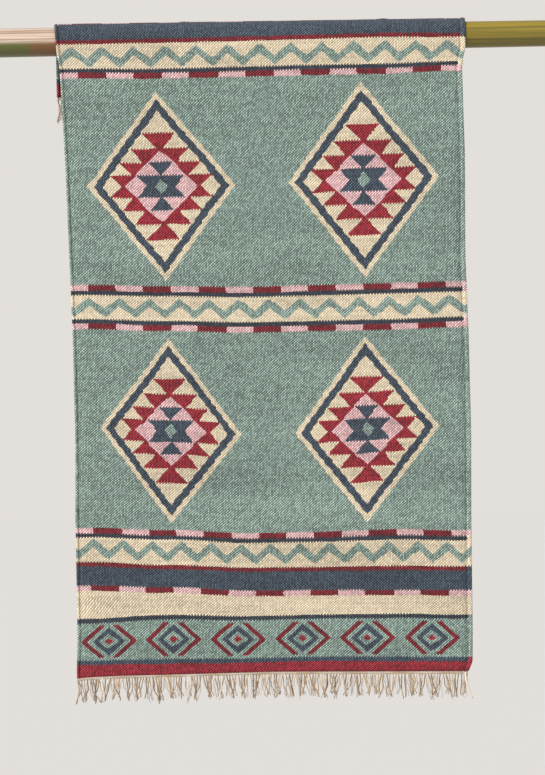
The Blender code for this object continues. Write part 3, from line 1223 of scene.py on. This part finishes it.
@dataclass(frozen=True)
class Kilim:
    """The rug itself: one closed sheet in dyed wool."""

    drape: Drape
    wool: DyedWool = DyedWool()

    def surface(self) -> tuple[Array, list, Array]:
        """The closed sheet: its face and its reverse, joined round the selvages and the hems.

        Each side is the middle surface moved along its normal by half the thickness, and the face
        a little more over the pole, where the beads of weft open. The normal is the cross product
        of the steps across and along.

        Returns:
            Points, faces and the flat pattern's place of each point.
        """
        middle, drop = self.drape.middle()
        across = np.gradient(middle, axis=1)
        upward = np.gradient(middle, axis=0)
        normal = np.cross(across, upward)
        normal /= np.linalg.norm(normal, axis=2, keepdims=True)
        half = self.drape.half_thickness()[None, :, None]
        over = np.clip(middle[..., 2:] / self.drape.cloth_radius(middle[..., :1]), 0.0, 1.0)
        face = middle + normal * (half + self.drape.crest_swell * over * (half > 0.0))
        reverse = middle - normal * half
        shares = self.drape.column_shares()
        pattern = np.stack([
            np.broadcast_to((shares - 0.5) * self.drape.width, drop.shape),
            self.drape.pattern_along(shares[None, :], drop)], -1)
        loop = np.concatenate([face, reverse[:, -2:0:-1]], axis=1)
        places = np.concatenate([pattern, pattern[:, -2:0:-1]], axis=1)
        rows, around = loop.shape[:2]
        columns = len(shares)
        faces = ring_faces(rows, around).tolist()
        near = np.arange(columns)
        far = np.where((near == 0) | (near == columns - 1), near, around - near)
        cap = np.stack([near[:-1], near[1:], far[1:], far[:-1]], -1)
        faces += self.hem_faces(cap[:, ::-1])
        faces += self.hem_faces(cap + (rows - 1) * around)
        return loop.reshape(-1, 3), faces, places.reshape(-1, 2)

    @staticmethod
    def hem_faces(cap: Array) -> list:
        """The faces that close a hem, with the repeated corner at each selvage left out."""
        return [list(dict.fromkeys(quad)) for quad in cap.tolist()]

    def build(self) -> bpy.types.Object:
        """Makes the rug and dresses it.

        Returns:
            The rug's object.
        """
        points, faces, places = self.surface()
        rug = mesh_object("kilim_cloth", points, faces)
        dress(rug, self.wool, places)
        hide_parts("kilim")
        return rug


class Hem(Enum):
    """The two ends of the rug."""

    FRONT = 0
    BACK = -1


@dataclass(frozen=True)
class Fringe:
    """One fringe of warp ends, with the twined row that locks them under the hem."""

    name: str
    hem: Hem
    mean_length: float
    spread: float
    seed: int
    drape: Drape
    yarn: WarpYarn = WarpYarn()
    strands: int = 132
    strip_height: float = 0.004
    clump_sizes: tuple[int, ...] = (2, 3, 4, 4, 5)
    squeeze: float = 0.70
    drift: float = 3.6 * MM
    parting: float = 5.0 * MM
    uneven: float = 0.08
    gather: float = 0.40
    swing: float = 3.2 * MM
    forward_swing: float = 0.7
    forward_phase: float = 1.7
    yarn_radius: float = 0.92 * MM
    yarn_taper: float = 0.20
    fibre_radius: float = 0.34 * MM
    fibre_taper: float = 0.25
    root_jitter: float = 0.25
    # Even draws lie within a range, and tones come from a beta distribution with these two shapes.
    swing_range: tuple[float, float] = (0.2, 1.0)
    wave_range: tuple[float, float] = (0.5, 1.3)
    length_range: tuple[float, float] = (0.86, 1.0)
    yarn_range: tuple[float, float] = (0.80, 1.20)
    fibre_range: tuple[float, float] = (0.6, 1.4)
    yarn_tones: tuple[float, float] = (2.2, 2.6)
    fibre_tones: tuple[float, float] = (2.4, 2.2)
    white_share: float = 0.08
    left_tone: float = 0.65
    stray: tuple[tuple[float, float], ...] = ()
    stray_gain: float = 1.8
    steps: int = 13
    sides: int = 6
    fibre_sides: int = 4
    twine_sides: int = 8
    twine_radius: float = 1.15 * MM
    twine_orbit: float = 1.15 * MM
    twine_pitch: float = 7.0 * MM
    twine_step: float = 0.9 * MM
    twine_slack: float = 0.35 * MM
    twine_overrun: float = 0.02
    twine_tone: tuple[float, float, float] = (0.74, 0.12, 90.0)

    def hem_line(self) -> tuple[Array, Array, Array]:
        """The middle line of the strip below the hem, from left to right.

        Returns:
            X, Y and Z of its points.
        """
        middle, _ = self.drape.middle()
        x, y, z = middle[self.hem.value].T
        return x, y, z - self.strip_height / 2

    def tubes(self, paths: Array, radii: Array, sides: int, hanging: bool) -> tuple[Array, list, Array]:
        """Round tubes along paths: each path point carries a circle of its own radius.

        The circle lies level on a hanging strand, and square to X on a twined one.

        Args:
            paths: tubes by steps by 3.
            radii: tubes by steps.
            sides: sides of each tube.
            hanging: whether the paths run down.

        Returns:
            Points, faces, and for each point its turn round the tube and its length along it.
        """
        tubes, steps = radii.shape
        turn = np.arange(sides) / sides
        angle = math.tau * turn * (-1 if hanging else 1)
        first = np.array([1.0, 0.0, 0.0]) if hanging else np.array([0.0, 1.0, 0.0])
        second = np.array([0.0, 1.0, 0.0]) if hanging else np.array([0.0, 0.0, 1.0])
        circle = np.cos(angle)[:, None] * first + np.sin(angle)[:, None] * second
        points = paths[:, :, None, :] + radii[:, :, None, None] * circle
        one = ring_faces(steps, sides)
        start = (np.arange(tubes) * steps * sides)[:, None, None]
        walls = (one[None] + start).reshape(-1, 4)
        ring = np.arange(sides)
        roots = (ring[None, ::-1] + start[:, :, 0]).tolist()
        tips = (ring[None] + (steps - 1) * sides + start[:, :, 0]).tolist()
        stretch = np.linalg.norm(np.diff(paths, axis=1), axis=2).cumsum(axis=1)
        length = np.concatenate([np.zeros((tubes, 1)), stretch], axis=1)
        places = np.stack(np.broadcast_arrays(turn[None, None, :], length[:, :, None]), -1)
        return points.reshape(-1, 3), [*walls.tolist(), *roots, *tips], places.reshape(-1, 2)

    def clumps(self, middles: Array, deal: np.random.Generator) -> Array:
        """Where each strand goes: (knot x, tip x, forward, length).

        The strands of a clump are drawn together as far as the knot, and part again below it.

        Args:
            middles: X of each strand's root.
            deal: the source of the draws.

        Returns:
            One row of four values for each strand.
        """
        rows: list[tuple[float, float, float, float]] = []
        while len(rows) < len(middles):
            size = min(int(deal.choice(self.clump_sizes)), len(middles) - len(rows))
            members = middles[len(rows):len(rows) + size]
            centre = float(members.mean())
            aside = deal.uniform(-self.drift, self.drift)
            length = self.mean_length + deal.uniform(-self.spread, self.spread)
            for middle in members:
                knot = centre + 0.5 * aside + (middle - centre) * self.squeeze
                tip = centre + aside + deal.uniform(-self.parting, self.parting)
                forward = deal.uniform(-self.drift, self.drift)
                rows.append((knot, tip, forward, length * (1 + deal.uniform(-self.uneven, self.uneven))))
        return np.array(rows)

    def strand_paths(self, count: int, deal: np.random.Generator) -> Array:
        """Paths of the hanging strands, as strands by steps by 3.

        A strand goes from its root in the twined row through its clump's knot to its tip. Two slow
        sine waves, which grow towards the tip, bend it aside and forward.

        Args:
            count: yarns for each clump member.
            deal: the source of each strand's own waves.

        Returns:
            One path for each strand.
        """
        hem_x, hem_y, hem_z = self.hem_line()
        pitch = (hem_x[-1] - hem_x[0]) / self.strands
        middles = hem_x[0] + pitch * (np.arange(self.strands) + 0.5)
        knot, tip, front, reach = np.repeat(self.clumps(middles, deal), count, axis=0).T[..., None]
        x = np.repeat(middles, count)
        total = len(x)
        x = x + deal.uniform(-self.root_jitter, self.root_jitter, total) * pitch
        y = np.interp(x, hem_x, hem_y)
        z = np.interp(x, hem_x, hem_z)
        share = np.linspace(0.0, 1.0, self.steps)[None, :]
        drawn = smooth_step(share / self.gather)
        parted = smooth_step((share - self.gather) / (1.0 - self.gather))
        swing = self.swing * share * deal.uniform(*self.swing_range, (total, 1))
        phase = deal.uniform(0.0, math.tau, (total, 1))
        waves = deal.uniform(*self.wave_range, (total, 1))
        root = x[:, None]
        along_x = root + (knot - root) * drawn + (tip - knot) * parted
        ripple = math.tau * waves * share
        along_x = along_x + swing * (np.sin(phase + ripple) - np.sin(phase) * (1.0 - share))
        wave = np.cos(phase * self.forward_phase + ripple)
        forward = front * drawn + self.forward_swing * swing * wave
        length = reach * deal.uniform(*self.length_range, (total, 1))
        down = (length + self.strip_height * 0.5) * share
        return np.stack([along_x, y[:, None] + forward, z[:, None] - down], -1)

    def stray_path(self, neighbour: Array) -> Array:
        """The path of the one long strand that stands off at the corner, by its (x, drop) places.

        Args:
            neighbour: the path of the strand beside it.

        Returns:
            One path, as strands by steps by 3.
        """
        x, drop = np.array(self.stray).T
        share = np.linspace(0.0, 1.0, self.steps)
        knots = np.linspace(0.0, 1.0, len(x))
        down = -np.interp(share, knots, drop)
        return np.stack([np.interp(share, knots, x), neighbour[:, 1] - self.yarn_radius, down], -1)[None]

    def strand_piece(self) -> bpy.types.Object:
        """Makes all of the hanging strands as one piece: plied yarns, and finer loose plies.

        Returns:
            The strands' object.
        """
        deal = np.random.default_rng(self.seed)
        yarns = self.strand_paths(1, deal)
        share = np.linspace(0.0, 1.0, self.steps)[None, :]
        taper = self.yarn_radius * (1.0 - self.yarn_taper * share ** 2)
        radii = taper * deal.uniform(*self.yarn_range, (len(yarns), 1))
        fibres = self.strand_paths(2, deal)
        fine = self.fibre_radius * (1.0 - self.fibre_taper * share)
        fine = fine * deal.uniform(*self.fibre_range, (len(fibres), 1))
        if self.stray:
            yarns = np.concatenate([yarns, self.stray_path(yarns[-1])])
            radii = np.concatenate([radii, self.stray_gain * taper])
        parts = [self.tubes(yarns, radii, self.sides, True), self.tubes(fibres, fine, self.fibre_sides, True)]
        points, places = (np.concatenate([part[which] for part in parts]) for which in (0, 2))
        shift = len(parts[0][0])
        faces = parts[0][1] + [[corner + shift for corner in face] for face in parts[1][1]]
        strands = mesh_object(f"{self.name}_strands", points, faces)
        tones = [deal.beta(*self.yarn_tones, len(yarns)), deal.beta(*self.fibre_tones, len(fibres))]
        tones = np.concatenate(tones)
        roots = np.concatenate([yarns[:, 0, 0], fibres[:, 0, 0]])
        to_right = smooth_step(roots / self.drape.width + 0.5)
        tones = tones * (self.left_tone + (1.0 - self.left_tone) * to_right)
        tones = np.where(deal.uniform(size=len(tones)) < self.white_share, 1.0, tones)
        if self.stray:
            tones[len(yarns) - 1] = 1.0
        counts = [self.steps * self.sides] * len(yarns) + [self.steps * self.fibre_sides] * len(fibres)
        self.finished(strands, np.repeat(tones, counts), places)
        return strands

    def twined_piece(self) -> bpy.types.Object:
        """Makes the twined row: two yarns that circle each other along the hem.

        Returns:
            The row's object.
        """
        hem_x, hem_y, hem_z = self.hem_line()
        x = np.arange(hem_x[0] + self.twine_radius, hem_x[-1] - self.twine_radius, self.twine_step)
        y = np.interp(x, hem_x, hem_y)
        z = np.interp(x, hem_x, hem_z)
        deal = np.random.default_rng(self.seed + 1)
        knots = np.arange(x[0] - self.twine_overrun, x[-1] + self.twine_overrun, self.twine_pitch)
        loose = np.interp(x, knots, deal.uniform(-self.twine_slack, self.twine_slack, len(knots)))
        turn = math.tau * x / self.twine_pitch
        starts = np.array([0.0, math.pi])[:, None]
        paths = np.stack([
            np.broadcast_to(x, (2, len(x))),
            y + self.twine_orbit * np.cos(turn + starts),
            z + loose + self.twine_orbit * np.sin(turn + starts)], -1)
        radii = np.full(paths.shape[:2], self.twine_radius)
        points, faces, places = self.tubes(paths, radii, self.twine_sides, False)
        row = mesh_object(f"{self.name}_twining", points, faces)
        mean, swing, rate = self.twine_tone
        self.finished(row, mean + swing * np.sin(points[:, 0] * rate), places)
        return row

    def finished(self, piece: bpy.types.Object, tone: Array, places: Array) -> None:
        """Gives a piece its yarn, its tones and its body.

        Args:
            piece: the mesh object.
            tone: one tone for each point.
            places: one (u, v) for each point.
        """
        attribute = piece.data.attributes.new("tone", "FLOAT", "POINT")
        attribute.data.foreach_set("value", tone.astype(np.float32))
        dress(piece, self.yarn, places)

    def build(self) -> list[bpy.types.Object]:
        """Makes the fringe's two pieces.

        Returns:
            The strands and the twined row.
        """
        pieces = [self.strand_piece(), self.twined_piece()]
        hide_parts(self.name)
        return pieces


@dataclass(frozen=True)
class FloorPaint(Finish):
    """Matt emulsion, rolled on: pale and even, with no gloss."""

    name: str = "pale studio floor, matt painted"
    colour: str = "d6d6d4"

    def shader(self, nodes: NodeTree) -> Socket:
        """Makes a plain matt surface."""
        return nodes.add("BsdfPrincipled", at={"Base Color": self.colour, "Roughness": 0.9})


@dataclass(frozen=True)
class Studio:
    """The camera, the lights and the pale floor."""

    metres_per_pixel: float = 1.5 * MM
    origin_pixel: tuple[float, float] = (261.5, 37.9)
    pole_slope: float = -0.0178
    distance: float = 18.0
    panel_y: float = -0.024
    sensor: float = 36.0
    floor_drop: float = 1.35
    floor_size: float = 120.0
    floor_paint: FloorPaint = FloorPaint()
    sky_colour: str = "eaeff6"
    sky_strength: float = 0.55
    backdrop_colour: str = "e3dfda"
    sun_strength: float = 3.3
    sun_spread: float = math.radians(24.0)
    sun_tilt: float = math.radians(48.0)
    sun_turn: float = math.radians(-38.0)
    sun_colour: str = "fff4e8"

    def camera(self) -> None:
        """Sets the camera square to the front panel, rolled to give the pole the photograph's slope."""
        across = PHOTO_WIDTH / 2 - self.origin_pixel[0]
        down = PHOTO_HEIGHT / 2 - self.origin_pixel[1]
        roll = math.atan(self.pole_slope)
        x = (across * math.cos(roll) + down * math.sin(roll)) * self.metres_per_pixel
        drop = (down * math.cos(roll) - across * math.sin(roll)) * self.metres_per_pixel
        data = bpy.data.cameras.new("camera")
        data.sensor_width = self.sensor
        data.lens = self.sensor * self.distance / (PHOTO_HEIGHT * self.metres_per_pixel)
        data.clip_end = 100.0
        camera = bpy.data.objects.new("camera", data)
        camera.location = (x, self.panel_y - self.distance, -drop)
        camera.rotation_euler = (math.pi / 2, -roll, 0.0)
        bpy.context.scene.collection.objects.link(camera)
        bpy.context.scene.camera = camera

    def sun(self) -> None:
        """Adds the key light: a broad soft box far away, up to the left, so that it falls evenly."""
        data = bpy.data.lights.new("key", "SUN")
        data.energy = self.sun_strength
        data.angle = self.sun_spread
        data.color = linear(self.sun_colour)[:3]
        lamp = bpy.data.objects.new("key", data)
        lamp.rotation_euler = (self.sun_tilt, 0.0, self.sun_turn)
        bpy.context.scene.collection.objects.link(lamp)

    def floor(self) -> None:
        """Lays a pale matt floor below the fringe."""
        half = self.floor_size / 2
        corners = np.array([[-1, -1], [1, -1], [1, 1], [-1, 1]]) * half
        floor = mesh_object("floor", np.column_stack([corners, np.full(4, -self.floor_drop)]), [[0, 1, 2, 3]])
        self.floor_paint.coat(floor)
        floor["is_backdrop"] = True

    def build(self) -> None:
        """Sets the world, the camera, the lights and the floor."""
        world = bpy.data.worlds.new("studio")
        nodes = NodeTree(world)
        seen = nodes.add("LightPath", out="Is Camera Ray")
        sky = nodes.add("Background", self.sky_colour, self.sky_strength)
        backdrop = nodes.add("Background", self.backdrop_colour, 1.0)
        nodes.add("OutputWorld", nodes.add("MixShader", seen, sky, backdrop))
        bpy.context.scene.world = world
        # The yarns' own colours are wanted, and the beads are finer than filtered guides can keep.
        bpy.context.scene.view_settings.view_transform = "Standard"
        bpy.context.scene.cycles.denoising_prefilter = "NONE"
        self.camera()
        self.sun()
        self.floor()


def write_sizes() -> None:
    """Lists the corners of the box of the solids and of the box of the dressed part."""
    boxes = {"cad": CAD_BOX, "visual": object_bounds()}
    lists = {name: [[float(value) for value in corner] for corner in box] for name, box in boxes.items()}


def main() -> None:
    """Builds the classes in order and reports each piece."""
    logging.basicConfig(level=logging.INFO, format="%(name)s: %(message)s")
    Studio().build()
    pole = Pole()
    drape = Drape(pole)
    culm = pole.build()
    rug = Kilim(drape).build()
    corner_strand = ((0.2885, 0.9560), (0.2893, 0.9660), (0.2915, 0.9765), (0.2948, 0.9870), (0.2990, 0.9960))
    fringes = [
        Fringe("front_fringe", Hem.FRONT, 0.035, 0.0035, 11, drape, stray=corner_strand),
        Fringe("back_fringe", Hem.BACK, 0.037, 0.0030, 23, drape),
    ]
    trims = [piece for fringe in fringes for piece in fringe.build()]
    flat_length = max(drape.hem_drops) + math.pi * float(drape.cloth_radius(0.0)) + drape.back_drop
    for piece in (culm, rug, *trims):
        LOG.info("%s has %d faces", piece.name, len(piece.data.polygons))
    write_sizes()


if __name__ == "__main__":
    main()
